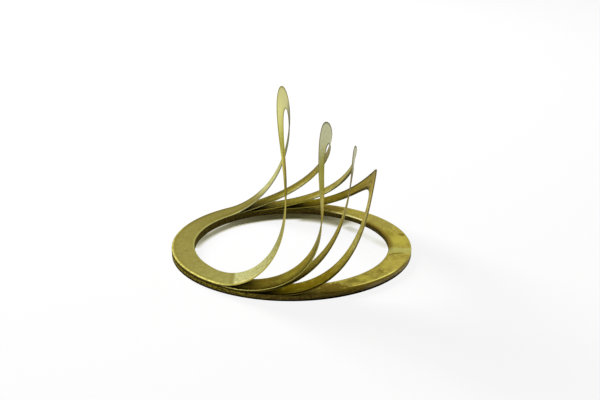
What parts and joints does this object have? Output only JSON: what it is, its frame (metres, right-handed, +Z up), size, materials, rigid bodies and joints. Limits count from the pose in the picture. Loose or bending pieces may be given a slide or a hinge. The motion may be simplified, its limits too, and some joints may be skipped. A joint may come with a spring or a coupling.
{
  "type": "laminated shim",
  "caption": "Flat brass shim ring of thin bonded laminations, its upper laminations peeled part way round and curling up as open loops.",
  "frame": {"origin": "centre of the ring's bottom face", "axes": "+Z up along the ring's axis, away from the bottom face; the laminations are still bonded towards -X and stand up as loops towards +X"},
  "size_m": [0.0254, 0.0254, 0.0173],
  "materials": {
    "stack_brass": "dull brass, tarnished brown at the edges",
    "peeled_brass": "matte rolled brass foil"
  },
  "bodies": {
    "root": {"lamination_1": "peeled_brass", "lamination_2": "peeled_brass", "lamination_3": "peeled_brass", "lamination_4": "peeled_brass", "lamination_5": "stack_brass", "lamination_6": "stack_brass", "lamination_7": "stack_brass", "lamination_8": "stack_brass", "lamination_9": "stack_brass", "lamination_10": "stack_brass", "lamination_11": "stack_brass"}
  },
  "joints": []
}
